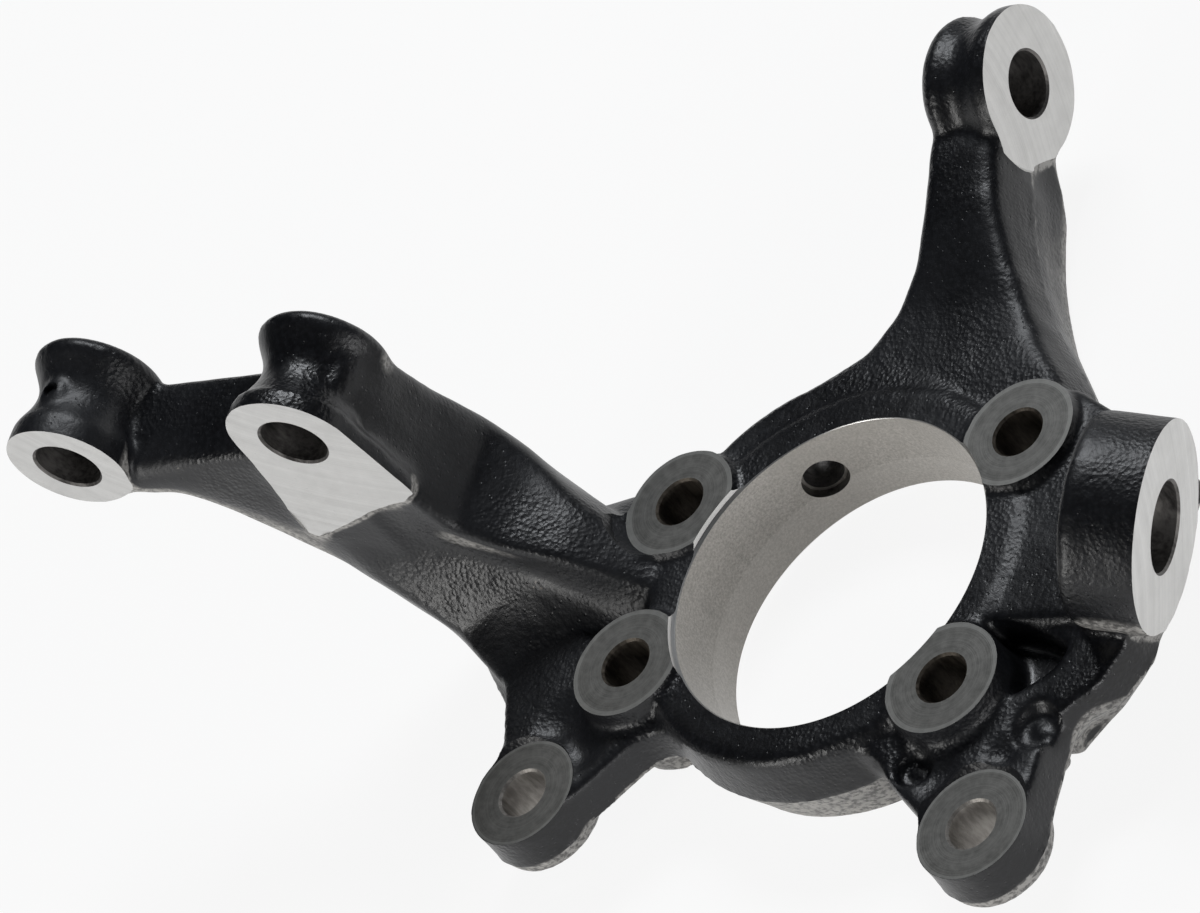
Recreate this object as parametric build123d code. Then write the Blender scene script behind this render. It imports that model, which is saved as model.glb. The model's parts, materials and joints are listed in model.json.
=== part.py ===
from build123d import *
import os
from math import atan2, cos, degrees, hypot, radians, sin

# Steering knuckle, right-hand, one iron casting with machined seats and bores.
# Frame: origin on the hub bore axis at the outboard bearing seat, +Z inboard along the hub axis,
# +Y up towards the strut lugs, +X towards the tie-rod arm.  Millimetres.

# ---- hub bore and ring -------------------------------------------------------------------------
BORE_R = 45.0            # bearing bore
RING_DEPTH = 29.7        # outboard seat to the cast inboard face
PARTING_Z = 15.0         # height at which the two mould halves meet
RING_R = 57.5            # ring outside at the parting line
RING_RIM_R = 52.5        # ring outside at the outboard seat
RING_TOP_R = 54.5        # ring outside at the inboard face
BORE_LEAD = 1.2          # lead-in chamfer of the bore at the outboard seat

# ---- bearing bolts -----------------------------------------------------------------------------
BOLT_CIRCLE_R = 58.5
UPPER_BOLT_ANGLE = 24.1  # either side of +Y
LOWER_BOLT_ANGLE = 37.1  # either side of -Y
BOLT_HOLE_R = 6.6
BOLT_FACE_R = 14.6
BOLT_BOSS_R = 16.6
BOLT_FACE_Z = 31.6

# ---- speed sensor ------------------------------------------------------------------------------
SENSOR_ANGLE = 31.0
SENSOR_Z = 15.5
SENSOR_R = 5.4
SENSOR_RING_R = 65.3     # ring outside where it carries the sensor
SHOULDER_R = 50.0        # plan radius of the swelling there

# ---- caliper ears ------------------------------------------------------------------------------
EAR_UPPER = (-56.1, 79.3)
EAR_LOWER = (-72.8, -63.0)
EAR_HOLE_R = 6.5
EAR_FACE_R = 14.8
EAR_PARTING_R = 15.8
EAR_FACE_Z = 24.7
EAR_BACK_Z = 10.0
WEB_FRONT_Z = 26.0       # cast face of the webs that carry the ears
WEB_BACK_Z = 14.2

# ---- strut lugs --------------------------------------------------------------------------------
LUG_Z = 104.2
LUG_NEAR_Y = 116.8
LUG_SPACING = 76.4
LUG_R = 16.6
LUG_HOLE_R = 8.8
LUG_WIDTH = 29.6
LUG_WAIST = 3.2
LUG_RIM = 5.5
LUG_BACK_R = 18.0        # cast rim at the lug's far end
LUG_BACK_ROUND = 3.5

# ---- tie-rod boss ------------------------------------------------------------------------------
TIE_X = 140.7
TIE_FACE_Y = -20.0
TIE_Z = 36.2
TIE_R = 20.3
TIE_HOLE_R = 8.5
TIE_LENGTH = 22.5
TIE_WAIST = 2.6
TIE_RIM = 4.0
TIE_BACK_ROUND = 6.0

# ---- ball-joint boss ---------------------------------------------------------------------------
BALL_FACE_Y = -102.9
BALL_Z = 35.8
BALL_TILT = 20.4         # axis leans this far outboard from -Y
BALL_R = 26.0
BALL_HOLE_R = 11.0
BALL_LENGTH = 19.5
LOBE_R = 95.5            # reach of the cast lobe under the ball joint, at the parting line

# ---- small cast details ------------------------------------------------------------------------
PIT_NEAR = (-56.2, -40.9)
PIT_FAR = (-46.5, -73.3)
PIT_DEPTH = 3.8
POCKET_DEPTH = 7.0
NUB = (-48.5, -72.0)

# webs under the ears: the ear, the heel from its centre (x, y, radius), discs inside the hub
EAR_WEBS = ((EAR_UPPER, (-4.3, -3.9, 9.0), ((-20.9, 86.0, 12), (-25, 45, 11))),
            (EAR_LOWER, (0, -4.3, 11.5), ((-40, -63.5, 14.4), (-49.8, -44.7, 14.9))))

PART = "knuckle_casting"


def eased_section(plane, points, ease):
    """A closed polygon in the plane with every corner taken off."""
    face = make_face(Polyline(*points, close=True))
    return plane * chamfer(face.vertices(), ease)


def drafted(sketch, z, amount, inset):
    """Extrude the sketch from z by amount, its wall leaning in by inset over that height."""
    angle = degrees(atan2(inset, abs(amount)))
    half = extrude(Pos(0, 0, z) * sketch, amount=abs(amount), taper=angle)
    if (half.center().Z - z) * amount < 0:
        half = mirror(half, about=Plane.XY.offset(z))
    return half


def bolt_points():
    points = []
    for base, half in ((90, UPPER_BOLT_ANGLE), (-90, LOWER_BOLT_ANGLE)):
        for side in (-1, 1):
            angle = radians(base + side * half)
            points.append((BOLT_CIRCLE_R * cos(angle), BOLT_CIRCLE_R * sin(angle)))
    return points


def ring():
    edge = 3.0
    profile = make_face(
        Polyline((0, 0), (RING_RIM_R, 0), (RING_R, PARTING_Z), (RING_TOP_R + 1, RING_DEPTH - edge))
        + ThreePointArc((RING_TOP_R + 1, RING_DEPTH - edge),
                        (RING_TOP_R, RING_DEPTH - edge * 0.29), (RING_TOP_R - 2, RING_DEPTH))
        + Polyline((RING_TOP_R - 2, RING_DEPTH), (0, RING_DEPTH), (0, 0)))
    return revolve(Plane.XZ * profile, Axis.Z)


def spool(radius, length, waist, rim, back_radius, back_round):
    """A boss along +Z waisted between a machined rim and a rounded cast rim."""
    arc = back_round * (1 - cos(radians(45)))
    neck = radius - waist
    profile = make_face(
        Polyline((0, length), (0, 0), (radius, 0), (radius, rim), (neck + waist * 0.25, length * 0.36),
                 (neck, length * 0.46), (neck, length * 0.56), (neck + waist * 0.3, length * 0.67),
                 (back_radius, length - back_round))
        + ThreePointArc((back_radius, length - back_round), (back_radius - arc, length - arc),
                        (back_radius - back_round, length))
        + Line((back_radius - back_round, length), (0, length)))
    return revolve(Plane.XZ * profile, Axis.Z)


# ---- cast webs ---------------------------------------------------------------------------------
def closing(outline, radius):
    """Round every inside corner of the outline."""
    return offset(offset(outline, amount=radius, kind=Kind.ARC), amount=-radius, kind=Kind.ARC)


def disc(x, y, radius):
    return Pos(x, y) * Circle(radius)


def ear_outline(heel, anchors):
    """Web from its rounded heel under the ear to discs buried in the hub."""
    edges = disc(*heel).edges()
    for anchor in anchors:
        edges += disc(*anchor).edges()
    return make_hull(edges)


def neck_outline(inset):
    """Plan of the neck that carries the ball joint."""
    reach = BALL_FACE_Y + 8
    corners = ((45, -40), (51, -58), (40, -76), (26, reach), (-24, reach), (-37, reach + 5.5),
               (-45, reach + 16), (-40, -40))
    outline = offset(make_face(Polyline(*corners, close=True)), amount=-inset, kind=Kind.INTERSECTION)
    return fillet(outline.vertices(), 4.5)


def web_outline():
    outline = disc(0, 0, RING_R - 1.5)
    for (x, y), (dx, dy, radius), anchors in EAR_WEBS:
        outline += ear_outline((x + dx, y + dy, radius), anchors)
        outline += disc(x, y, EAR_PARTING_R - 0.6)
    outline += neck_outline(0.6)
    for x, y in bolt_points():
        outline += disc(x, y, BOLT_BOSS_R - 1)
    return closing(outline, 12)


def webs():
    outline = web_outline()
    return [drafted(outline, PARTING_Z, WEB_FRONT_Z - PARTING_Z, 0.9),
            drafted(outline, PARTING_Z, WEB_BACK_Z - PARTING_Z, 0.5)]


def neck_pocket():
    """Three-cornered pocket between the neck, the lower bolt boss and the web."""
    corners = ((-46, -50), (-40.5, -58.5), (-30.5, -73.5), (-24.5, -76), (-20.5, -66), (-16, -46))
    outline = make_face(Polyline(*corners, close=True))
    outline = fillet(outline.vertices(), 1.5)
    return extrude(Pos(0, 0, WEB_FRONT_Z - POCKET_DEPTH) * outline, amount=20, taper=-4)


def ear_boss(centre):
    outline = disc(*centre, EAR_PARTING_R)
    return [drafted(outline, PARTING_Z, EAR_FACE_Z - PARTING_Z, 0.7),
            drafted(outline, PARTING_Z, EAR_BACK_Z - PARTING_Z, 1.2)]


# stations of the strut arm: share of the lug's (y, z), inboard point beyond that share, outboard
# direction (y, z), then the outline as (x, depth) from the near inboard edge round the +X side
# to the recess on the -X side
STRUT_STATIONS = (
    (0, (44, 22), (41, -6), ((0, 0), (8, 0), (26, 11), (40, 25), (34, 60), (-26, 60), (-33, 40), (-8, 18))),
    (0, (58, 31), (41, -7), ((0, 0), (9.5, 0), (20.5, 11), (26.5, 22), (30, 58), (-8, 58), (-24, 40), (-3, 16))),
    (0, (74, 44), (37, -13), ((0, 0), (18, 0), (27.5, 11), (35, 22), (31, 57), (-1.5, 57), (-12, 39), (1, 15))),
    (0.5, (29.6, -0.1), (37, -9), ((0, 0), (29, 0), (35, 8), (38, 22), (28, 51), (1, 51), (-5.5, 38), (2.8, 15))),
    (0.8, (3.6, -22.4), (34, -13), ((0, 0), (34.5, 0), (37, 8), (37.5, 22), (26, 48), (2, 48), (-3, 36), (3, 15))),
    (1, (-16.8, -26.2), (35, -17), ((0, 0), (32, 0), (34, 8), (33.5, 22), (25, 50), (2, 50), (0.6, 39), (2.8, 15))),
    (1, (-15.8, -8.2), (35, -9), ((1, 0), (28.5, 0), (29, 8), (28, 22), (25, 54), (4, 54), (2, 36), (2.5, 15))),
)


def strut_arm():
    sections = []
    for share, (y, z), (dy, dz), outline in STRUT_STATIONS:
        y += share * LUG_NEAR_Y
        z += share * LUG_Z
        length = hypot(dy, dz)
        up = (0, -dz / length, dy / length)
        plane = Plane(origin=(0, y, z), x_dir=(1, 0, 0), z_dir=up)
        sections.append(eased_section(plane, outline, 1.6))
    return loft(sections, ruled=True)


# stations of the bar: share of the lug spacing, then how far the crest on its near side and its
# outboard edge lie below the lug centres
BAR_STATIONS = ((0.016, 56, 84), (0.25, 42, 78), (0.33, 36.7, 69), (0.408, 30, 59), (0.487, 24, 48),
                (0.565, 19, 34), (0.644, 15, 25), (0.722, 13, 20), (0.88, 11, 17), (1.01, 11, 17))
BAR_DRAFT = 0.13


def strut_bar():
    """Bar between the lugs with the brace that runs outboard from the far lug."""
    sections = []
    for share, below_crest, below_edge in BAR_STATIONS:
        y = LUG_NEAR_Y + share * LUG_SPACING
        crest = LUG_Z - below_crest
        edge = LUG_Z - below_edge
        plane = Plane(origin=(0, y, 0), x_dir=(1, 0, 0), z_dir=(0, -1, 0))
        near = BAR_DRAFT * (crest - edge)
        outline = ((2.5, LUG_Z - 7), (12, LUG_Z - 4), (26, LUG_Z - 2.5), (27.5, LUG_Z - 9),
                   (22, edge), (near + 1, edge), (0, crest))
        sections.append(eased_section(plane, outline, 1.5))
    return loft(sections, ruled=True)


def strut_lug(y):
    place = Plane(origin=(0, y, LUG_Z), x_dir=(0, 1, 0), z_dir=(1, 0, 0))
    return place * spool(LUG_R, LUG_WIDTH, LUG_WAIST, LUG_RIM, LUG_BACK_R, LUG_BACK_ROUND)


def lug_tab():
    """Machined pad that runs from the near lug down the arm."""
    foot = Line((LUG_NEAR_Y - 19.3, LUG_Z - 24.2), (LUG_NEAR_Y + 16.2, LUG_Z - 37.7))
    outline = make_hull(disc(LUG_NEAR_Y, LUG_Z, LUG_R - 0.4).edges() + foot.edges())
    return extrude(Plane.YZ * outline, amount=LUG_RIM - 0.7)


# stations of the tie-rod arm: share of the boss centre's x, share of its y and z, then the
# six corners of the section (y, z) beyond that share
TIE_STATIONS = (
    (0.327, 0, ((-55, 27), (-60, 15), (-54, 2), (36, 2), (40, 15), (38, 27))),
    (0.412, 0, ((-47, 28), (-52, 15), (-48, 0.8), (28, 0.8), (31, 15), (28, 28))),
    (0.483, 0, ((-39, 28.5), (-44.5, 16), (-41, 0.3), (13, 0.3), (16, 16), (12.5, 28.5))),
    (0.554, 0, ((-33, 30), (-36.5, 17.5), (-34, 0), (6, 0), (8, 17.5), (5.8, 30))),
    (0.64, 0.25, ((-22, 25), (-25, 11), (-23, -9), (6, -9), (8, 11), (6.4, 25))),
    (0.732, 0.5, ((-12, 20.4), (-15, 5.4), (-13, -17.5), (10, -17), (12, 5.4), (10.8, 20.4))),
    (0.832, 1, ((1, 5.3), (-1.8, -9.7), (-0.6, -32.5), (20.5, -32), (22.5, -9.7), (21.5, 5.3))),
    (0.938, 1, ((1.5, 6.8), (0, -8.2), (-0.2, -20.7), (21, -20.2), (22.5, -8.2), (22, 6.8))),
)


def tie_arm():
    sections = []
    for along, share, outline in TIE_STATIONS:
        plane = Plane(origin=(along * TIE_X, share * TIE_FACE_Y, share * TIE_Z), x_dir=(0, 1, 0), z_dir=(1, 0, 0))
        sections.append(eased_section(plane, outline, 2.0))
    return loft(sections, ruled=True)


def tie_boss():
    place = Plane(origin=(TIE_X, TIE_FACE_Y, TIE_Z), x_dir=(1, 0, 0), z_dir=(0, 1, 0))
    return place * spool(TIE_R, TIE_LENGTH, TIE_WAIST, TIE_RIM, TIE_R - 1, TIE_BACK_ROUND)


def ball_plane():
    lean = radians(BALL_TILT)
    return Plane(origin=(0, BALL_FACE_Y, BALL_Z), x_dir=(1, 0, 0), z_dir=(0, cos(lean), sin(lean)))


def ball_boss():
    barrel = Cylinder(BALL_R, BALL_LENGTH, align=(Align.CENTER, Align.CENTER, Align.MIN))
    return ball_plane() * fillet(barrel.edges().sort_by(Axis.Z)[-1], 3)


def lobe_limit():
    """Solid of revolution that bounds the outboard side of the neck."""
    clear = LOBE_R + 30
    profile = make_face(Polyline((0, 1), (LOBE_R - 15.5, 1), (LOBE_R - 8.5, 5), (LOBE_R - 4, 10),
                                 (LOBE_R, PARTING_Z), (clear, PARTING_Z), (clear, 60), (0, 60), close=True))
    return revolve(Plane.XZ * profile, Axis.Z)


def ball_neck():
    """Lobe outboard of the parting line and the neck's body inboard of it."""
    reach = BALL_FACE_Y + 8
    corners = ((45, -40), (51, -58), (40, -76), (26, reach), (-20, reach), (-19, -42))
    body = make_face(Polyline(*corners, close=True))
    body = fillet(body.vertices(), 4)
    corner = Pos(-48.4, reach + 6.8) * Rot(0, 0, -51) * Rectangle(40, 18)
    lobe = drafted(neck_outline(1.0) - corner, PARTING_Z, 1 - PARTING_Z, 2.5)
    return [drafted(body, PARTING_Z, WEB_FRONT_Z + 2.5 - PARTING_Z, 1.5), lobe & lobe_limit()]


def sensor_shoulder():
    """Swelling of the ring wall that carries the speed sensor."""
    outline = Rot(0, 0, SENSOR_ANGLE + 6) * disc(SENSOR_RING_R - SHOULDER_R, 0, SHOULDER_R)
    return [drafted(outline, PARTING_Z, RING_DEPTH - 1.2 - PARTING_Z, 1.2),
            drafted(outline, PARTING_Z, 2 - PARTING_Z, 3)]


def bolt_bosses():
    bosses = []
    for x, y in bolt_points():
        outline = disc(x, y, BOLT_BOSS_R)
        bosses.append(drafted(outline, PARTING_Z, BOLT_FACE_Z - PARTING_Z, 0.9))
        bosses.append(drafted(outline, PARTING_Z, 2 - PARTING_Z, 2.6))
    return bosses


def hole(x, y, z, radius, depth):
    return Pos(x, y, z) * Cylinder(radius, depth, align=(Align.CENTER, Align.CENTER, Align.MIN))


def sensor_hole():
    """Radial hole through the ring wall, counterbored on the inside."""
    place = Rot(0, 0, SENSOR_ANGLE) * Pos(BORE_R - 6, 0, SENSOR_Z) * Rot(0, 90, 0)
    up = (Align.CENTER, Align.CENTER, Align.MIN)
    return place * (Cylinder(SENSOR_R, 40, align=up) + Cylinder(SENSOR_R + 0.9, 8.5, align=up))


def bore():
    """Bearing bore with its lead-in at the outboard seat."""
    through = hole(0, 0, -1, BORE_R, 90)
    lead = Cone(BORE_R + BORE_LEAD, BORE_R, BORE_LEAD, align=(Align.CENTER, Align.CENTER, Align.MIN))
    return through + lead


def pits():
    """Ejector dimples beside the lower ear, each with a raised pip left standing."""
    cuts = []
    for (x, y), radius in ((PIT_NEAR, 5.5), (PIT_FAR, 6.5)):
        pit = Pos(x, y, WEB_FRONT_Z - PIT_DEPTH) * Cone(
            radius - 1, radius + 1, PIT_DEPTH + 3, align=(Align.CENTER, Align.CENTER, Align.MIN))
        cuts.append(pit)
    return cuts


def nub():
    """Small round pad on the outboard side of the web."""
    return Pos(*NUB, WEB_BACK_Z - 4) * Cone(3.6, 4.6, 6, align=(Align.CENTER, Align.CENTER, Align.MIN))


def knuckle():
    body = Part() + webs() + ball_neck()
    body -= neck_pocket()
    body += ring()
    body += sensor_shoulder()
    body += ear_boss(EAR_UPPER) + ear_boss(EAR_LOWER)
    body += bolt_bosses()
    body += strut_arm()
    body += strut_bar()
    body += [strut_lug(LUG_NEAR_Y), strut_lug(LUG_NEAR_Y + LUG_SPACING), lug_tab()]
    body += tie_arm()
    body += tie_boss()
    body += ball_boss()
    body += nub()
    body -= pits()
    body -= bore()
    body -= sensor_hole()
    for x, y in bolt_points():
        body -= hole(x, y, -1, BOLT_HOLE_R, 60)
        body -= hole(x, y, BOLT_FACE_Z, BOLT_FACE_R, 40)
    for centre in (EAR_UPPER, EAR_LOWER):
        body -= hole(*centre, 0, EAR_HOLE_R, 60)
        body -= hole(*centre, EAR_FACE_Z, EAR_FACE_R, 40)
    for y in (LUG_NEAR_Y, LUG_NEAR_Y + LUG_SPACING):
        body -= Pos(-1, y, LUG_Z) * Rot(0, 90, 0) * Cylinder(LUG_HOLE_R, 60,
                                                           align=(Align.CENTER, Align.CENTER, Align.MIN))
    place = Plane(origin=(TIE_X, TIE_FACE_Y, TIE_Z), x_dir=(1, 0, 0), z_dir=(0, 1, 0))
    body -= place * Pos(0, 0, -1) * Cylinder(TIE_HOLE_R, 60, align=(Align.CENTER, Align.CENTER, Align.MIN))
    body -= ball_plane() * Pos(0, 0, -1) * Cylinder(BALL_HOLE_R, 40,
                                                    align=(Align.CENTER, Align.CENTER, Align.MIN))
    return body


casting = knuckle()
casting.label = PART
os.makedirs("parts", exist_ok=True)
export_step(casting, os.path.join("parts", PART + ".step"))
print(PART, "solids", len(casting.solids()), "volume", round(casting.volume / 1000, 1), "cm3")
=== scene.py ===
import json
from math import cos, pi, radians, sin

import bmesh
import bpy
from bpy.props import FloatProperty, FloatVectorProperty, IntProperty, PointerProperty
from mathutils import Matrix, Vector, kdtree, noise


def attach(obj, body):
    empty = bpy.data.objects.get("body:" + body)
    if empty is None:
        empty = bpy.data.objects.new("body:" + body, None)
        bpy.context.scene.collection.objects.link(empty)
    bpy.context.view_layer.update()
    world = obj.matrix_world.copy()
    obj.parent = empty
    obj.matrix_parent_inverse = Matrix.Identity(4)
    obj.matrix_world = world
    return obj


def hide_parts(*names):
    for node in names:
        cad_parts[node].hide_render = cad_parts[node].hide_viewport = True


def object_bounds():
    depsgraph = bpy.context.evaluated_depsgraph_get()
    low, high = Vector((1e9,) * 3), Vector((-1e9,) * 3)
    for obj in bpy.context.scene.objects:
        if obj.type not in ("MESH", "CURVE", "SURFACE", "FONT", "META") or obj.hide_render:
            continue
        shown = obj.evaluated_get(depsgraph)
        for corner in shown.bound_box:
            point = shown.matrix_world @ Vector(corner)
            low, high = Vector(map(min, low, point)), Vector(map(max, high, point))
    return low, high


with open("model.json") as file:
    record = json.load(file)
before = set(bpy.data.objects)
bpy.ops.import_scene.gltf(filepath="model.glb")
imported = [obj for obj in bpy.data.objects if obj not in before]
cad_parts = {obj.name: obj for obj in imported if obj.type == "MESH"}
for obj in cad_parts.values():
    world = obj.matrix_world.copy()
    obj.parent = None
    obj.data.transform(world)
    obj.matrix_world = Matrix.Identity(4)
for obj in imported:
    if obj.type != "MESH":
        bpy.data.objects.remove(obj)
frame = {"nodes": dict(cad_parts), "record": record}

bl_info = {
    "name": "Steering knuckle",
    "version": (1, 0, 0),
    "blender": (4, 5, 0),
    "location": "View3D > Sidebar > Knuckle",
    "description": "Dresses a cast steering knuckle: coated casting, machined seats and a pale stage",
    "category": "Mesh",
}

MM = 0.001
MOUNTS = {mount["name"]: mount for mount in frame["record"]["mounts"]}
CAD_NODE = "knuckle_casting"
CAD_BOX = [list(corner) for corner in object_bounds()]

# Sizes in millimetres that no mount gives.
RING_FRONT_Z = 29.7
SEAT_R = 54.0            # inboard face turned round the bore
BOLT_FACE_R = 14.6
EAR_FACE_R = 14.8
EAR_FACE_Z = 24.7
EAR_BACK_Z = 10.0
LUG_R = 16.6
LUG_BACK_X = 29.6
TAB_FOOT = ((97.8, 79.2), (138.0, 66.3))    # lower corners (y, z) of the flat under the near lug
TIE_FACE_R = 20.3
TIE_MILL_R = 22.3        # wide enough to leave the face a tip on the arm's ridge
BALL_FACE_R = 26.0
BALL_MILL_R = 30.0
PARTING_Z = 15.0
FLAT_Z = 0.05            # lowest level of the cast skin beside the turned seat
STOCK = 2.0              # metal left on a seat before it is machined
SLIVER = 0.05            # shorter edges than this are closed up after the cuts

# Dimples beside the lower ear, each with a small bar on its floor: centre and the bar's size.
PITS = (((-56.2, -40.9), (3.6, 1.3, 2.6)), ((-46.5, -73.3), (3.2, 1.3, 2.6)))
PIT_FLOOR_Z = 22.2
PIT_BAR_ANGLE = 60

# Round core mark in the waist of the far lug: its place along the lug and its reach.
LUG_MARK_X = 14.0
LUG_MARK_R = 14.2

# Where the near lug's waist runs out into the arm: the spot that is faired, and the filling's
# outlines in y and z.
LUG_VALLEY = Vector((15, 99.5, 97))
WAIST_FILL_FRONT = ((104, 92), (103.5, 100), (105, 107), (113, 104), (113, 92))
WAIST_FILL_BACK = ((100.7, 92), (100.5, 98), (100.8, 105), (103, 111), (113, 106), (113, 92))

# The sensor hole has a wider mouth at the bore: the tool starts inside the wall.
SENSOR_START = 6.0
SENSOR_STEP = 8.5


# ---- shader building ---------------------------------------------------------------------------
class Signal:
    """A value socket that adds Math nodes when it is used in a Python expression."""

    def __init__(self, finish, socket):
        self.finish = finish
        self.socket = socket

    def _with(self, operation, *others):
        return self.finish.math(operation, self, *others)

    def __add__(self, other):
        return self._with("ADD", other)

    def __radd__(self, other):
        return self.finish.math("ADD", other, self)

    def __sub__(self, other):
        return self._with("SUBTRACT", other)

    def __rsub__(self, other):
        return self.finish.math("SUBTRACT", other, self)

    def __mul__(self, other):
        return self._with("MULTIPLY", other)

    def __rmul__(self, other):
        return self.finish.math("MULTIPLY", other, self)

    def least(self, other):
        return self._with("MINIMUM", other)

    def most(self, other):
        return self._with("MAXIMUM", other)

    def step(self, start, end):
        """0 below start, 1 above end, smooth between."""
        node = self.finish.node("ShaderNodeMapRange", {"interpolation_type": "SMOOTHSTEP"},
                                {"Value": self, "From Min": start, "From Max": end})
        return Signal(self.finish, node.outputs["Result"])


class Finish:
    """A node material, built one call at a time."""

    def __init__(self, name):
        self.material = bpy.data.materials.new(name)
        self.material.use_nodes = True
        self.tree = self.material.node_tree
        self.shader = self.tree.nodes["Principled BSDF"]
        self.place = self.node("ShaderNodeTexCoord").outputs["Object"]

    def link(self, value, socket):
        if isinstance(value, Signal):
            value = value.socket
        if isinstance(value, bpy.types.NodeSocket):
            self.tree.links.new(value, socket)
        else:
            socket.default_value = value

    def node(self, kind, settings=None, inputs=None):
        node = self.tree.nodes.new(kind)
        for name, value in (settings or {}).items():
            setattr(node, name, value)
        for name, value in (inputs or {}).items():
            self.link(value, node.inputs[name])
        return node

    def math(self, operation, *values):
        node = self.node("ShaderNodeMath", {"operation": operation}, dict(enumerate(values)))
        return Signal(self, node.outputs[0])

    def axes(self, vector=None):
        """The three components of a vector, or of the place on the object."""
        node = self.node("ShaderNodeSeparateXYZ", None, {0: vector or self.place})
        return [Signal(self, node.outputs[i]) for i in range(3)]

    def noise(self, scale, detail=2.0, rough=0.5, stretch=None):
        vector = self.place
        if stretch:
            mapping = self.node("ShaderNodeMapping", None, {"Vector": vector, "Scale": stretch})
            vector = mapping.outputs[0]
        node = self.node("ShaderNodeTexNoise", None,
                         {"Vector": vector, "Scale": scale, "Detail": detail, "Roughness": rough})
        return Signal(self, node.outputs["Fac"])

    def cells(self, scale):
        node = self.node("ShaderNodeTexVoronoi", None, {"Vector": self.place, "Scale": scale})
        return Signal(self, node.outputs["Distance"])

    def lines(self, value, scale):
        """Fine random grooves across a value that grows from groove to groove."""
        node = self.node("ShaderNodeTexNoise", {"noise_dimensions": "1D"},
                         {"W": value, "Scale": scale, "Detail": 3.0, "Roughness": 0.6})
        return Signal(self, node.outputs["Fac"])

    def reach(self, centre, axis):
        """Distance in metres from a line through centre along axis."""
        offset = self.node("ShaderNodeVectorMath", {"operation": "SUBTRACT"},
                           {0: self.place, 1: centre}).outputs[0]
        across = self.node("ShaderNodeVectorMath", {"operation": "CROSS_PRODUCT"}, {0: offset, 1: axis})
        length = self.node("ShaderNodeVectorMath", {"operation": "LENGTH"}, {0: across.outputs[0]})
        return Signal(self, length.outputs["Value"])

    def blend(self, factor, first, second):
        """Colour that goes from first to second as factor goes from 0 to 1."""
        node = self.node("ShaderNodeMix", {"data_type": "RGBA"},
                         {"Factor": factor, 6: first, 7: second})
        return node.outputs[2]

    def relief(self, height, strength, distance, under=None):
        """Bumped normal; under is a coarser relief that this one lies on."""
        inputs = {"Height": height, "Strength": strength, "Distance": distance}
        if under is not None:
            inputs["Normal"] = under
        return self.node("ShaderNodeBump", None, inputs).outputs["Normal"]

    def set(self, **values):
        """Gives the shader its values; an underscore stands for a space in a socket's name."""
        for name, value in values.items():
            self.link(value, self.shader.inputs[name.replace("_", " ")])
        return self.material


# ---- finishes ----------------------------------------------------------------------------------
def coat_finish(sizes):
    """Black electrocoat over cast grain, with a painted pale reflection of the floor where the skin
    turns outboard toward the near side.
    """
    look = Finish("black_coat")
    grain = look.noise(640, 3.0, 0.65)
    leather = look.cells(820)
    coarse = look.noise(190, 2.0, 0.5)
    peel = look.noise(90, 1.0, 0.4)
    speck = look.cells(430).step(0.20, 0.07)
    patches = look.noise(24, 2.0, 0.5).step(0.35, 0.68)
    leathery = look.noise(30, 1.0, 0.5).step(0.38, 0.60)
    fine = grain * 0.45 + coarse * 0.35 + leather * leathery * 0.5 - speck * 0.25
    normal = look.relief(peel, 0.22, 0.0016, look.relief(fine, 0.75, 0.00042))
    across, along, facing = look.axes(look.node("ShaderNodeNewGeometry").outputs["Normal"])
    near_side = (across * -0.6 - along * 0.8).step(-0.1, 0.25)
    turned = facing.step(-0.04, -0.20) * (1 - facing.step(-0.55, -0.85) * 0.75)
    grit = 0.2 + patches * 0.25 + grain.step(0.38, 0.60) * 0.7
    # painted reflection of the floor: pale colour on skin turned outboard and toward the near side,
    # broken up by grit
    painted_floor_sheen = turned * near_side * grit * (0.35 + coarse * 1.3)
    chips = look.noise(75, 4.0, 0.75).step(0.70, 0.72) * look.noise(9, 1.0, 0.5).step(0.55, 0.62)
    black = look.blend(grain.step(0.40, 0.75), (0.0035, 0.0036, 0.0044, 1), (0.009, 0.0095, 0.0115, 1))
    colour = look.blend(patches * 0.35, black, (0.016, 0.0175, 0.021, 1))
    colour = look.blend(painted_floor_sheen, colour, tuple(sizes.painted_sheen_colour) + (1,))
    colour = look.blend(chips, colour, (0.13, 0.115, 0.10, 1))
    rough = 0.27 + patches * 0.12 + grain * 0.10 + turned * 0.18
    return look.set(Base_Color=colour, Roughness=rough, Normal=normal, Metallic=0.0, IOR=1.46)


def bright_finish(name, tint, rough, centre, axis, pitch=2600):
    """Milled face: fine arcs about a centre, with a few deeper passes and cloudy wear."""
    look = Finish(name)
    reach = look.reach([c * MM for c in centre], axis)
    fine = look.lines(reach, pitch)
    passes = look.lines(reach, pitch * 0.10)
    cloud = look.noise(70, 3.0, 0.6)
    blotch = look.noise(230, 3.0, 0.65)
    speck = look.noise(900, 2.0, 0.7).step(0.66, 0.8)
    normal = look.relief(fine * 0.6 + passes * 0.6 + blotch * 0.3, 0.35, 0.0003)
    dark = tuple(c * 0.62 for c in tint) + (1,)
    colour = look.blend(fine * 0.45 + passes * 0.55 + blotch * 0.45 - 0.2, dark, tint + (1,))
    colour = look.blend(cloud.step(0.50, 0.72) * 0.5, colour, tuple(c * 0.72 for c in tint) + (1,))
    colour = look.blend(speck * 0.45, colour, tuple(c * 0.40 for c in tint) + (1,))
    roughness = rough + cloud * 0.14 - passes * 0.08
    return look.set(Base_Color=colour, Roughness=roughness, Metallic=0.82, Normal=normal)


# radii in millimetres of the painted highlights on a spot face: round its hole and at its rim
SPOT_LIP_GLINT = (7.0, 7.3)
SPOT_RIM_GLINT = (14.15, 14.40)


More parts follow.
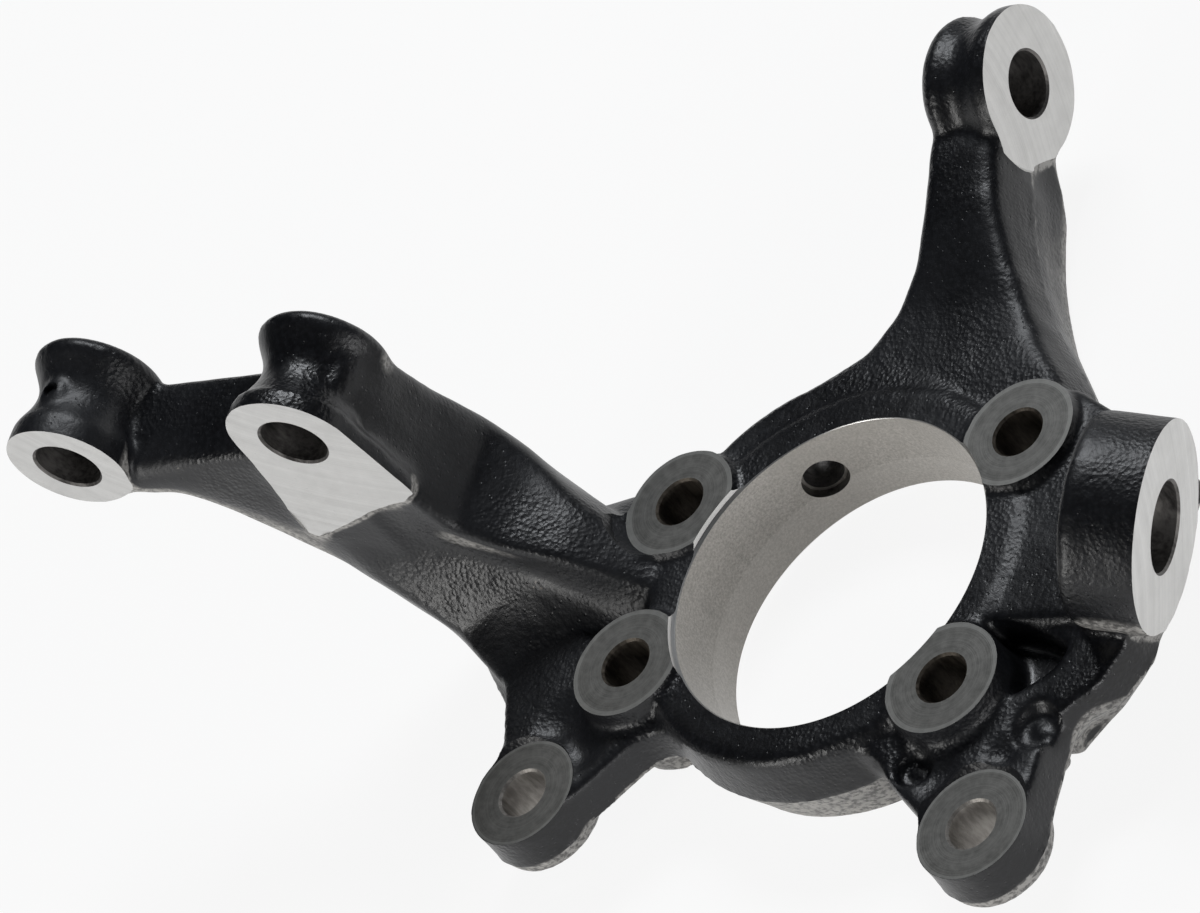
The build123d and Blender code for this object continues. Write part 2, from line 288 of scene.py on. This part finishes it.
def spot_finish(centres):
    """Spot faces: dark grey, turned about their own holes, with a thin painted highlight at the rim and
    round the hole.
    """
    look = Finish("spot_faced_iron")
    reach = None
    for x, y in centres:
        here = look.reach((x * MM, y * MM, 0), (0, 0, 1))
        reach = here if reach is None else reach.least(here)
    turned = look.lines(reach, 2600)
    passes = look.lines(reach, 420)
    mottle = look.noise(420, 3.0, 0.65)
    # painted highlights: thin bright bands at the face's rim and round its hole
    rim = reach.step(SPOT_RIM_GLINT[0] * MM, SPOT_RIM_GLINT[1] * MM)
    lip_glint = 1 - reach.step(SPOT_LIP_GLINT[0] * MM, SPOT_LIP_GLINT[1] * MM)
    colour = look.blend(mottle.step(0.25, 0.80), (0.112, 0.111, 0.103, 1), (0.185, 0.182, 0.170, 1))
    grooves = (turned * 0.6 + passes * 0.5).step(0.40, 0.80)
    colour = look.blend(grooves * 0.35, colour, (0.27, 0.268, 0.255, 1))
    colour = look.blend((rim + lip_glint) * 0.28, colour, (0.42, 0.42, 0.40, 1))
    normal = look.relief(turned * 0.5 + passes * 0.4 + mottle * 0.3, 0.28, 0.0002)
    return look.set(Base_Color=colour, Roughness=0.42 + mottle * 0.10, Metallic=0.5, Normal=normal)


def bore_finish():
    """Bored wall: two tool bands, faint rings along the axis and fine dull grain."""
    look = Finish("bored_iron")
    z = look.axes()[2]
    rings = look.lines(z, 3200)
    haze = look.noise(34, 3.0, 0.6)
    grain = look.noise(1500, 3.0, 0.75)
    fleck = look.noise(620, 2.0, 0.7).step(0.60, 0.80)
    streak = look.noise(260, 3.0, 0.6, stretch=(1, 1, 0.12))
    band = z.step(0.0118, 0.0122)
    colour = look.blend(haze.step(0.3, 0.7), (0.58, 0.555, 0.515, 1), (0.78, 0.75, 0.705, 1))
    colour = look.blend(grain.step(0.30, 0.72) * 0.6, (0.38, 0.36, 0.33, 1), colour)
    colour = look.blend(fleck * 0.35 + streak.step(0.55, 0.8) * 0.2, colour, (0.20, 0.188, 0.17, 1))
    colour = look.blend((1 - band) * 0.2, colour, (0.74, 0.715, 0.675, 1))
    normal = look.relief(rings * 0.6 + grain * 0.6, 0.30, 0.0002)
    return look.set(Base_Color=colour, Roughness=0.48 + haze * 0.1, Metallic=0.35, Normal=normal)


def drilled_finish(name, dark, light):
    """Drilled hole wall with tool rings and rust-brown grain."""
    look = Finish(name)
    swirl = look.noise(800, 3.0, 0.6, stretch=(1, 1, 0.25))
    cloud = look.noise(120, 2.0, 0.5)
    colour = look.blend((swirl * 0.6 + cloud * 0.5).step(0.35, 0.75), dark, light)
    return look.set(Base_Color=colour, Roughness=0.42 + swirl * 0.15, Metallic=0.7,
                    Normal=look.relief(swirl, 0.35, 0.0003))


# ---- modelling helpers -------------------------------------------------------------------------
def new_piece(name, form):
    """Turns a finished bmesh into an object in the scene."""
    mesh = bpy.data.meshes.new(name)
    form.to_mesh(mesh)
    form.free()
    piece = bpy.data.objects.new(name, mesh)
    bpy.context.scene.collection.objects.link(piece)
    return piece


def placed(centre, axis):
    """Matrix in metres that stands a shape made along +Z on centre, pointing along axis."""
    turn = Vector((0, 0, 1)).rotation_difference(Vector(axis)).to_matrix().to_4x4()
    return Matrix.Translation(Vector(centre) * MM) @ turn @ Matrix.Scale(MM, 4)


def add_plug(form, centre, axis, radius, low, high, segments=72):
    """A closed cylinder from low to high along axis, in millimetres."""
    shift = Matrix.Translation((0, 0, (low + high) / 2))
    bmesh.ops.create_cone(form, cap_ends=True, segments=segments, radius1=radius, radius2=radius,
                          depth=high - low, matrix=placed(centre, axis) @ shift)


def turned_cutter(name, centre, axis, profile, finishes, face_reach, segments=96):
    """A tool of revolution with three finishes: hole wall, flat face, and flare beyond face_reach."""
    form = bmesh.new()
    ring = [form.verts.new((radius, 0, height)) for radius, height in profile]
    edges = [form.edges.new(pair) for pair in zip(ring, ring[1:])]
    bmesh.ops.spin(form, geom=ring + edges, cent=(0, 0, 0), axis=(0, 0, 1), angle=2 * pi,
                   steps=segments, use_merge=True, use_normal_flip=False, use_duplicate=False)
    bmesh.ops.remove_doubles(form, verts=form.verts, dist=1e-4)
    bmesh.ops.recalc_face_normals(form, faces=form.faces)
    for part in form.faces:
        flat = abs(part.normal.z) > 0.9
        beyond = part.calc_center_median().xy.length > face_reach
        part.material_index = 1 if flat else 2 if beyond else 0
    bmesh.ops.transform(form, matrix=placed(centre, axis), verts=form.verts)
    cutter = new_piece(name, form)
    for finish in finishes:
        cutter.data.materials.append(finish)
    return cutter


def spot_profile(hole, face, face_z, bottom, flare=2.5):
    """Drill and spot-facing tool: a chamfered hole under a flat face with a flared rim."""
    chamfer = 0.6
    top = face_z + 30
    return ((0, top), (face + flare, top), (face + flare, face_z + flare), (face, face_z),
            (hole + chamfer, face_z), (hole, face_z - chamfer), (hole, bottom), (0, bottom))


def cut_away(piece, cutters):
    """Takes the cutters out of the piece; the cut faces keep the cutters' finishes."""
    for cutter in cutters:
        step = piece.modifiers.new("cut", "BOOLEAN")
        step.operation = "DIFFERENCE"
        step.solver = "MANIFOLD"
        step.material_mode = "TRANSFER"
        step.object = cutter
    apply_modifiers(piece)
    for cutter in cutters:
        bpy.data.objects.remove(cutter)


def apply_modifiers(piece):
    """Bakes the modifiers into the piece's mesh."""
    evaluated = piece.evaluated_get(bpy.context.evaluated_depsgraph_get())
    baked = bpy.data.meshes.new_from_object(evaluated)
    piece.modifiers.clear()
    old = piece.data
    piece.data = baked
    bpy.data.meshes.remove(old)


# ---- the casting -------------------------------------------------------------------------------
def bolt_centres():
    """The four bearing bolts' (x, y) in millimetres."""
    centres = []
    for name in ("bearing_bolts_upper", "bearing_bolts_lower"):
        mount = MOUNTS[name]
        half = mount["dims"]["spacing_x_mm"] / 2
        centres += [(side * half, mount["pos_m"][1] / MM) for side in (-1, 1)]
    return centres


def ear_centres():
    """The two caliper holes' (x, y) in millimetres."""
    return [tuple(c / MM for c in MOUNTS[name]["pos_m"][:2])
            for name in ("caliper_hole_upper", "caliper_hole_lower")]


def lug_centres():
    """The two strut holes' centres on the lugs' machined plane, in millimetres."""
    found = [MOUNTS[name]["pos_m"] for name in ("strut_hole_near", "strut_hole_far")]
    return [(0, pos[1] / MM, pos[2] / MM) for pos in found]


def face_point(name):
    """Centre of the machined face that a bore mount opens in, in millimetres."""
    mount = MOUNTS[name]
    axis = Vector(mount["axis"])
    return Vector(mount["pos_m"]) / MM + axis * mount["dims"]["length_mm"] / 2


def stocked_form():
    """The rough casting: the solid with its bores filled and metal left on its seats."""
    form = bmesh.new()
    form.from_mesh(frame["nodes"][CAD_NODE].data)
    bmesh.ops.remove_doubles(form, verts=form.verts, dist=1e-6)
    bore_r = MOUNTS["bearing_bore"]["dims"]["r_mm"]
    add_plug(form, (0, 0, 0), (0, 0, 1), bore_r + 1.5, -STOCK, RING_FRONT_Z, 144)
    add_plug(form, (0, 0, 0), (0, 0, 1), SEAT_R - 1.5, -STOCK, 2, 144)
    for x, y in bolt_centres():
        top = MOUNTS["bearing_bolts_upper"]["pos_m"][2] / MM
        add_plug(form, (x, y, 0), (0, 0, 1), BOLT_FACE_R + 0.9, top - 3, top + STOCK)
        add_plug(form, (x, y, 0), (0, 0, 1), BOLT_FACE_R - 4, 2, top)
    for x, y in ear_centres():
        add_plug(form, (x, y, 0), (0, 0, 1), EAR_FACE_R + 0.5, EAR_BACK_Z + 2, EAR_FACE_Z + STOCK)
        add_plug(form, (x, y, 0), (0, 0, 1), EAR_FACE_R - 4, EAR_BACK_Z, EAR_FACE_Z)
    for centre in lug_centres():
        add_plug(form, centre, (1, 0, 0), LUG_R, -STOCK, 3)
        add_plug(form, centre, (1, 0, 0), LUG_R - 5, -STOCK, LUG_BACK_X)
    _, y, z = lug_centres()[1]
    add_plug(form, (LUG_MARK_X, y, z), (0, 0, 1), 3.6, LUG_MARK_R - 4, LUG_MARK_R + 0.8)
    add_tab(form, -STOCK, 5, 1.2)
    add_hull(form, ((6, WAIST_FILL_FRONT), (14, WAIST_FILL_BACK), (28, WAIST_FILL_BACK)))
    for (x, y), size in PITS:
        add_bar(form, (x, y, PIT_FLOOR_Z), PIT_BAR_ANGLE, size)
    add_boss_stock(form, "tie_rod_hole", TIE_FACE_R, 6)
    add_boss_stock(form, "ball_joint_hole", BALL_FACE_R, 8)
    return form


def add_boss_stock(form, name, radius, wall):
    """Stock over an arm's end face, and a filling for its hole, thinner than the boss by wall."""
    mount = MOUNTS[name]
    centre = face_point(name)
    add_plug(form, centre, mount["axis"], radius, -4, STOCK)
    add_plug(form, centre, mount["axis"], radius - wall, -mount["dims"]["length_mm"], STOCK)


def add_hull(form, sections):
    """Solid wrapped round flat outlines in y and z, each at its own x, in millimetres."""
    corners = [form.verts.new((x * MM, y * MM, z * MM)) for x, outline in sections for y, z in outline]
    bmesh.ops.convex_hull(form, input=corners)


def add_tab(form, low, high, margin):
    """Slab over the flat that runs from the near lug down the arm."""
    _, y, z = lug_centres()[0]
    reach = LUG_R + margin
    rim = [(y + reach * cos(a), z + reach * sin(a)) for a in (k * pi / 24 for k in range(48))]
    (y0, z0), (y1, z1) = TAB_FOOT
    foot = [(y0 - margin, z0 - margin), (y1 + margin, z1 - margin)]
    add_hull(form, ((low, rim + foot), (high, rim + foot)))


def tab_cutter(wall, face):
    """Milling block for the flat under the near lug."""
    form = bmesh.new()
    add_tab(form, -9, 0, 3.0)
    bmesh.ops.recalc_face_normals(form, faces=form.faces)
    for part in form.faces:
        part.material_index = 1 if abs(part.normal.x) > 0.9 else 0
    cutter = new_piece("tab_tool", form)
    cutter.data.materials.append(wall)
    cutter.data.materials.append(face)
    return cutter


def add_bar(form, centre, angle, size):
    """Small raised bar lying level at an angle, left by the pattern."""
    matrix = Matrix.Translation(Vector(centre) * MM) @ Matrix.Rotation(radians(angle), 4, "Z")
    matrix = matrix @ Matrix.Diagonal((*(Vector(size) * MM), 1))
    bmesh.ops.create_cube(form, size=1, matrix=matrix)


# soft hand work on the pattern: centre, reach and push, all in millimetres
DRESSING = (
    ((-41, -84, 8), 13, (3.2, 4.0, 0)),
    ((-43, -80, 3), 10, (2.0, 2.6, 1.0)),
    ((-24, -93, 7), 11, (0.4, -1.8, 0)),
    ((-37, 73, 26), 11, (0, 0, -2.6)),
    ((-45, 64, 26), 9, (0, 0, -2.2)),
    ((-60, -50, 26), 8, (0, 0, -1.6)),
    ((-54, -66.5, 26), 6.5, (0, 0, -2.2)),
    ((126, -20, 22), 13, (0, 1.6, 0)),
)


def dress(piece):
    """Push and pull the skin softly where the pattern was worked by hand."""
    vertices = piece.data.vertices
    tree = kdtree.KDTree(len(vertices))
    for vertex in vertices:
        tree.insert(vertex.co, vertex.index)
    tree.balance()
    shift = {}
    for centre, reach, push in DRESSING:
        for _, index, distance in tree.find_range(Vector(centre) * MM, reach * MM):
            share = (1 - (distance / (reach * MM)) ** 2) ** 2
            shift[index] = shift.get(index, Vector()) + Vector(push) * MM * share
    for index, move in shift.items():
        vertices[index].co += move
    piece.data.update()


def parting_height(here):
    """Height in millimetres of the mould joint, which climbs along the tie-rod arm."""
    return PARTING_Z + max(0.0, here.x - 62) * 0.19


def flash(here, normal):
    """Thin ragged fin along the mould joint of the hub, ears and tie-rod arm."""
    on_strut_arm = here.y > 62 and here.x > -30
    if on_strut_arm or here.z > 40:
        return 0.0
    off = (here.z - parting_height(here)) / 0.75
    side = 1 - abs(normal.z)
    ragged = 0.45 + 0.9 * max(0.0, noise.noise(here * 0.35) + 0.25)
    return max(0.0, 1 - off * off) * side * side * ragged


def roughen(piece, sizes):
    """Slow waves, small lumps and joint flash of the sand mould on the cast skin."""
    vertices = piece.data.vertices
    spots = [vertex.co.copy() for vertex in vertices]
    normals = [vertex.normal.copy() for vertex in vertices]
    moved = []
    for spot, normal in zip(spots, normals):
        here = spot / MM
        lump = noise.noise(here * 0.045) * 0.35 + noise.noise(here * 0.16) * 0.16
        lift = lump * sizes.waviness + flash(here, normal) * sizes.flash
        place = spot + normal * lift
        place.x = max(place.x, CAD_BOX[0][0])
        if place.xy.length > SEAT_R * MM:
            place.z = max(place.z, FLAT_Z * MM)
        moved.extend(place)
    vertices.foreach_set("co", moved)
    piece.data.update()


def fade(value, low, high):
    """0 at low and below, 1 at high and above, straight between."""
    return min(1.0, max(0.0, (value - low) / (high - low)))


def arm_share(here):
    """How much the skin is faired here: 1 on the arms' open spans, 0 at the hub and bosses."""
    strut = fade(here.y, 50, 66) * fade(here.z, 30, 42)
    strut *= (1 - fade(here.z, 80, 92)) * fade(here.x, 1.0, 4.0)
    brace = fade(here.y, 134, 142) * (1 - fade(here.y, 170, 177)) * fade(104 - here.z, 6, 12)
    tie = fade(here.x, 56, 66) * (1 - fade(here.x, 112, 120))
    valley = (1 - fade((here - LUG_VALLEY).length, 7, 17)) * 0.5 * fade(here.x, 2.5, 6)
    foot = fade(here.y, 58, 68) * fade(here.x, 24, 30) * (1 - fade(here.z, 22, 30))
    return max(strut, brace, tie * 0.5, valley, foot * 0.35)


def soften_arms(piece, sizes):
    """Fairs the open spans of the arms, so that the solid's station lines don't show."""
    group = piece.vertex_groups.new(name="arms")
    for vertex in piece.data.vertices:
        share = arm_share(vertex.co / MM)
        if share > 0:
            group.add([vertex.index], share, "REPLACE")
    fair = piece.modifiers.new("fair", "SMOOTH")
    fair.factor = 0.5
    fair.iterations = sizes.fairing
    fair.vertex_group = group.name
    apply_modifiers(piece)
    piece.vertex_groups.clear()


def tidy_cuts(piece):
    """Closes the slivers that the cuts leave and drops what they leave loose."""
    form = bmesh.new()
    form.from_mesh(piece.data)
    bmesh.ops.dissolve_degenerate(form, edges=form.edges, dist=SLIVER * MM)
    bmesh.ops.remove_doubles(form, verts=form.verts, dist=SLIVER * MM)
    loose = [edge for edge in form.edges if not edge.link_faces]
    bmesh.ops.delete(form, geom=loose, context="EDGES")
    alone = [vertex for vertex in form.verts if not vertex.link_faces]
    bmesh.ops.delete(form, geom=alone, context="VERTS")
    form.to_mesh(piece.data)
    form.free()


def sharpen_seats(piece):
    """Keeps the shading of machined faces apart from the cast skin round them."""
    form = bmesh.new()
    form.from_mesh(piece.data)
    for edge in form.edges:
        if len({part.material_index for part in edge.link_faces}) > 1:
            edge.smooth = False
    form.to_mesh(piece.data)
    form.free()


def build_casting(sizes):
    """The whole casting: skin over the stocked solid, hand work, mould marks, then the seats."""
    coat = coat_finish(sizes)
    casting = new_piece("casting", stocked_form())
    casting.data.materials.clear()
    casting.data.materials.append(coat)
    skin = casting.modifiers.new("skin", "REMESH")
    skin.mode = "VOXEL"
    skin.voxel_size = sizes.skin_grid
    soft = casting.modifiers.new("soften", "SMOOTH")
    soft.factor = 0.5
    soft.iterations = sizes.softening
    apply_modifiers(casting)
    soften_arms(casting, sizes)
    dress(casting)
    roughen(casting, sizes)
    cut_away(casting, machining(sizes, coat))
    tidy_cuts(casting)
    casting.data.polygons.foreach_set("use_smooth", [True] * len(casting.data.polygons))
    casting.data.set_sharp_from_angle(angle=radians(38))
    sharpen_seats(casting)
    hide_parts(CAD_NODE)
    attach(casting, "root")
    return casting


def machining(sizes, coat):
    """Every cutting tool, in the order the seats are made."""
    brown = drilled_finish("bolt_hole_iron", (0.030, 0.024, 0.018, 1), (0.13, 0.112, 0.09, 1))
    light = drilled_finish("ear_hole_iron", (0.20, 0.185, 0.17, 1), (0.42, 0.40, 0.37, 1))
    dim = drilled_finish("arm_hole_iron", (0.045, 0.042, 0.040, 1), (0.20, 0.19, 0.18, 1))
    spot = spot_finish(bolt_centres() + ear_centres())
    tint = tuple(sizes.bright_metal)
    bore = MOUNTS["bearing_bore"]["dims"]["r_mm"]
    top = MOUNTS["bearing_bolts_upper"]["pos_m"][2] / MM
    seat = bright_finish("turned_seat", tint, 0.30, (0, 0, 0), (0, 0, 1))
    rim = bore + 0.8
    tools = [turned_cutter("bore_tool", (0, 0, 0), (0, 0, 1),
                           ((0, 60), (rim, 60), (rim, RING_FRONT_Z + 0.5), (bore, RING_FRONT_Z - 0.3),
                            (bore, 1.2), (bore + 1.2, 0), (SEAT_R + 1, 0), (SEAT_R + 1, -10),
                            (0, -10)),
                           (bore_finish(), seat, seat), bore + 0.2, 192)]
    hole = MOUNTS["bearing_bolts_upper"]["dims"]["hole_r_mm"]
    for x, y in bolt_centres():
        tools.append(turned_cutter("bolt_tool", (x, y, 0), (0, 0, 1),
                                   spot_profile(hole, BOLT_FACE_R + 1.5, top, -5), (brown, spot, coat),
                                   BOLT_FACE_R))
    hole = MOUNTS["caliper_hole_upper"]["dims"]["r_mm"]
    for x, y in ear_centres():
        tools.append(turned_cutter("ear_tool", (x, y, 0), (0, 0, 1),
                                   spot_profile(hole, EAR_FACE_R + 0.3, EAR_FACE_Z, 0),
                                   (light, spot, coat), EAR_FACE_R))
    hole = MOUNTS["strut_hole_near"]["dims"]["r_mm"]
    lug_face = bright_finish("milled_lug_face", tint, 0.32, (0, 60, 190), (1, 0, 0))
    for centre in lug_centres():
        tools.append(turned_cutter("lug_tool", centre, (-1, 0, 0),
                                   spot_profile(hole, LUG_R + 1.2, 0, -60),
                                   (dim, lug_face, lug_face), LUG_R))
    tools.append(tab_cutter(lug_face, lug_face))
    _, y, z = lug_centres()[1]
    tools.append(turned_cutter("core_mark_tool", (LUG_MARK_X, y, z + LUG_MARK_R - 0.8), (0, 0, 1),
                               ((0, 6), (2.4, 6), (2.1, 0), (0, 0)), (coat, coat, coat), 40, 32))
    for name, reach in (("tie_rod_hole", TIE_MILL_R), ("ball_joint_hole", BALL_MILL_R)):
        mount = MOUNTS[name]
        centre = face_point(name)
        hub = (centre.x - 70, centre.y, centre.z + 30)
        face = bright_finish("milled_" + name, tint, 0.30, hub, mount["axis"])
        tools.append(turned_cutter(name + "_tool", centre, mount["axis"],
                                   spot_profile(mount["dims"]["r_mm"], reach, 0, -60),
                                   (dim, face, face), reach))
    sensor = MOUNTS["speed_sensor_hole"]
    small = sensor["dims"]["r_mm"]
    out = Vector(sensor["axis"])
    mouth = Vector(sensor["pos_m"]) / MM
    start = mouth - out * (mouth.xy.length - bore + SENSOR_START)
    tools.append(turned_cutter("sensor_tool", start, out,
                               ((0, 40), (small, 40), (small, SENSOR_STEP), (small + 0.9, SENSOR_STEP),
                                (small + 0.9, 0), (0, 0)),
                               (dim, light, dim), 40, 48))
    return tools


# ---- stage -------------------------------------------------------------------------------------
def plain_material(name, colour, glow):
    """Matt surface that the camera and reflections also see as a plain pale colour."""
    look = Finish(name)
    rays = look.node("ShaderNodeLightPath")
    seen = Signal(look, rays.outputs["Is Camera Ray"]).most(Signal(look, rays.outputs["Is Glossy Ray"]))
    lit = look.node("ShaderNodeBsdfDiffuse", None, {"Color": colour})
    shown = look.node("ShaderNodeEmission", None, {"Color": (1, 1, 1, 1), "Strength": glow})
    mixed = look.node("ShaderNodeMixShader", None,
                      {0: seen * 0.9, 1: lit.outputs[0], 2: shown.outputs[0]})
    output = look.tree.nodes["Material Output"]
    look.tree.links.new(mixed.outputs[0], output.inputs["Surface"])
    return look.material


def build_floor():
    form = bmesh.new()
    bmesh.ops.create_circle(form, cap_ends=True, segments=96, radius=6.0)
    floor = new_piece("floor", form)
    floor.data.materials.append(plain_material("pale_floor", (0.86, 0.86, 0.86, 1), 1.0))
    return floor


def add_light(name, place, target, size, power, colour):
    lamp = bpy.data.lights.new(name, "AREA")
    lamp.shape = "RECTANGLE"
    lamp.size, lamp.size_y = size
    lamp.energy = power
    lamp.color = colour
    light = bpy.data.objects.new(name, lamp)
    bpy.context.scene.collection.objects.link(light)
    light.location = place
    light.rotation_euler = (Vector(target) - Vector(place)).to_track_quat("-Z", "Y").to_euler()
    return light


def build_world():
    """White to the camera, and a faint ambient light on everything else."""
    world = bpy.data.worlds.new("studio")
    bpy.context.scene.world = world
    world.use_nodes = True
    nodes, links = world.node_tree.nodes, world.node_tree.links
    rays = nodes.new("ShaderNodeLightPath")
    mix = nodes.new("ShaderNodeMix")
    mix.data_type = "RGBA"
    mix.inputs[6].default_value = (0.022, 0.024, 0.028, 1)
    mix.inputs[7].default_value = (1, 1, 1, 1)
    links.new(rays.outputs["Is Camera Ray"], mix.inputs[0])
    links.new(mix.outputs[2], nodes["Background"].inputs["Color"])


SENSOR_WIDTH = 36.0
FOCAL_SHARE = 6902.47 / 1200    # focal length over picture width


def build_camera():
    """Camera from the pose of the view: right, down and forward axes and the origin's place."""
    right = Vector((0.2864, -0.7845, -0.5501))
    down = Vector((-0.8338, 0.0788, -0.5465))
    ahead = Vector((0.472, 0.6151, -0.6315))
    offset = Vector((72.386, 44.349, 1714.872)) * MM
    rows = Matrix((right, down, ahead))
    place = -(rows.transposed() @ offset)
    camera = bpy.data.cameras.new("camera")
    camera.sensor_fit = "HORIZONTAL"
    camera.sensor_width = SENSOR_WIDTH
    camera.lens = FOCAL_SHARE * SENSOR_WIDTH
    camera.clip_end = 30
    seat = bpy.data.objects.new("camera", camera)
    bpy.context.scene.collection.objects.link(seat)
    turn = Matrix((right, -down, -ahead)).transposed()
    seat.matrix_world = Matrix.Translation(place) @ turn.to_4x4()
    bpy.context.scene.camera = seat


def build_stage(sizes):
    build_floor()
    build_world()
    level = sizes.light_level
    add_light("overhead", (0.8, 0.1, 1.0), (0, 0.05, 0), (0.6, 0.35), 9 * level, (0.93, 0.96, 1))
    add_light("side", (-1.3, 0.75, 0.55), (0, 0.08, 0.03), (0.4, 0.8), 10 * level, (1, 0.99, 0.97))
    add_light("low", (-0.9, -1.3, 0.16), (0, 0.02, 0.03), (1.0, 0.3), 8.5 * level, (0.99, 0.99, 1))
    build_camera()
    bpy.context.scene.view_settings.view_transform = "Standard"


# ---- add-on ------------------------------------------------------------------------------------
class CastingSizes(bpy.types.PropertyGroup):
    skin_grid: FloatProperty(name="Skin grid", description="Grid on which the cast skin is formed",
                             default=0.0012, min=0.001, max=0.005, unit="LENGTH", precision=5)
    softening: IntProperty(name="Softening", description="Passes that round the cast edges",
                           default=6, min=0, max=40)
    fairing: IntProperty(name="Fairing", description="Extra passes along the open spans of the arms",
                         default=60, min=0, max=200)
    waviness: FloatProperty(name="Waviness", description="Height of the mould's slow waves",
                            default=0.00045, min=0.0, max=0.003, unit="LENGTH", precision=5)
    flash: FloatProperty(name="Flash", description="Height of the fin along the mould joint",
                         default=0.0004, min=0.0, max=0.002, unit="LENGTH", precision=5)
    bright_metal: FloatVectorProperty(name="Bright metal", description="Colour of the milled faces",
                                      subtype="COLOR", default=(0.70, 0.695, 0.68), min=0.0, max=1.0)
    # colour of the painted floor reflection on skin turned outboard
    painted_sheen_colour: FloatVectorProperty(name="Painted sheen", description="Colour of the skin turned outboard",
                                    subtype="COLOR", default=(0.46, 0.445, 0.42), min=0.0, max=1.0)


class StageSizes(bpy.types.PropertyGroup):
    light_level: FloatProperty(name="Light level", description="Scales the three lamps together",
                               default=1.0, min=0.0, max=10.0)


class KNUCKLE_OT_casting(bpy.types.Operator):
    """Forms the cast skin over the solid and machines its seats and bores"""
    bl_idname = "knuckle.casting"
    bl_label = "Casting"

    def execute(self, context):
        build_casting(context.scene.knuckle_casting_sizes)
        return {"FINISHED"}


class KNUCKLE_OT_stage(bpy.types.Operator):
    """Adds the pale floor, the soft lamps and the camera"""
    bl_idname = "knuckle.stage"
    bl_label = "Stage"

    def execute(self, context):
        build_stage(context.scene.knuckle_stage_sizes)
        return {"FINISHED"}


class KNUCKLE_PT_panel(bpy.types.Panel):
    """Lists the pieces of the knuckle and their sizes"""
    bl_label = "Steering knuckle"
    bl_idname = "KNUCKLE_PT_panel"
    bl_space_type = "VIEW_3D"
    bl_region_type = "UI"
    bl_category = "Knuckle"

    def draw(self, context):
        for label, group, operator in (("Casting", "knuckle_casting_sizes", KNUCKLE_OT_casting),
                                       ("Stage", "knuckle_stage_sizes", KNUCKLE_OT_stage)):
            box = self.layout.box()
            box.label(text=label)
            sizes = getattr(context.scene, group)
            for name in sizes.__annotations__:
                box.prop(sizes, name)
            box.operator(operator.bl_idname)


CLASSES = (CastingSizes, StageSizes, KNUCKLE_OT_casting, KNUCKLE_OT_stage, KNUCKLE_PT_panel)


def register():
    for item in CLASSES:
        bpy.utils.register_class(item)
    bpy.types.Scene.knuckle_casting_sizes = PointerProperty(type=CastingSizes)
    bpy.types.Scene.knuckle_stage_sizes = PointerProperty(type=StageSizes)


def unregister():
    del bpy.types.Scene.knuckle_stage_sizes
    del bpy.types.Scene.knuckle_casting_sizes
    for item in reversed(CLASSES):
        bpy.utils.unregister_class(item)


def main():
    register()
    bpy.ops.knuckle.casting()
    bpy.ops.knuckle.stage()


if __name__ == "__main__":
    main()
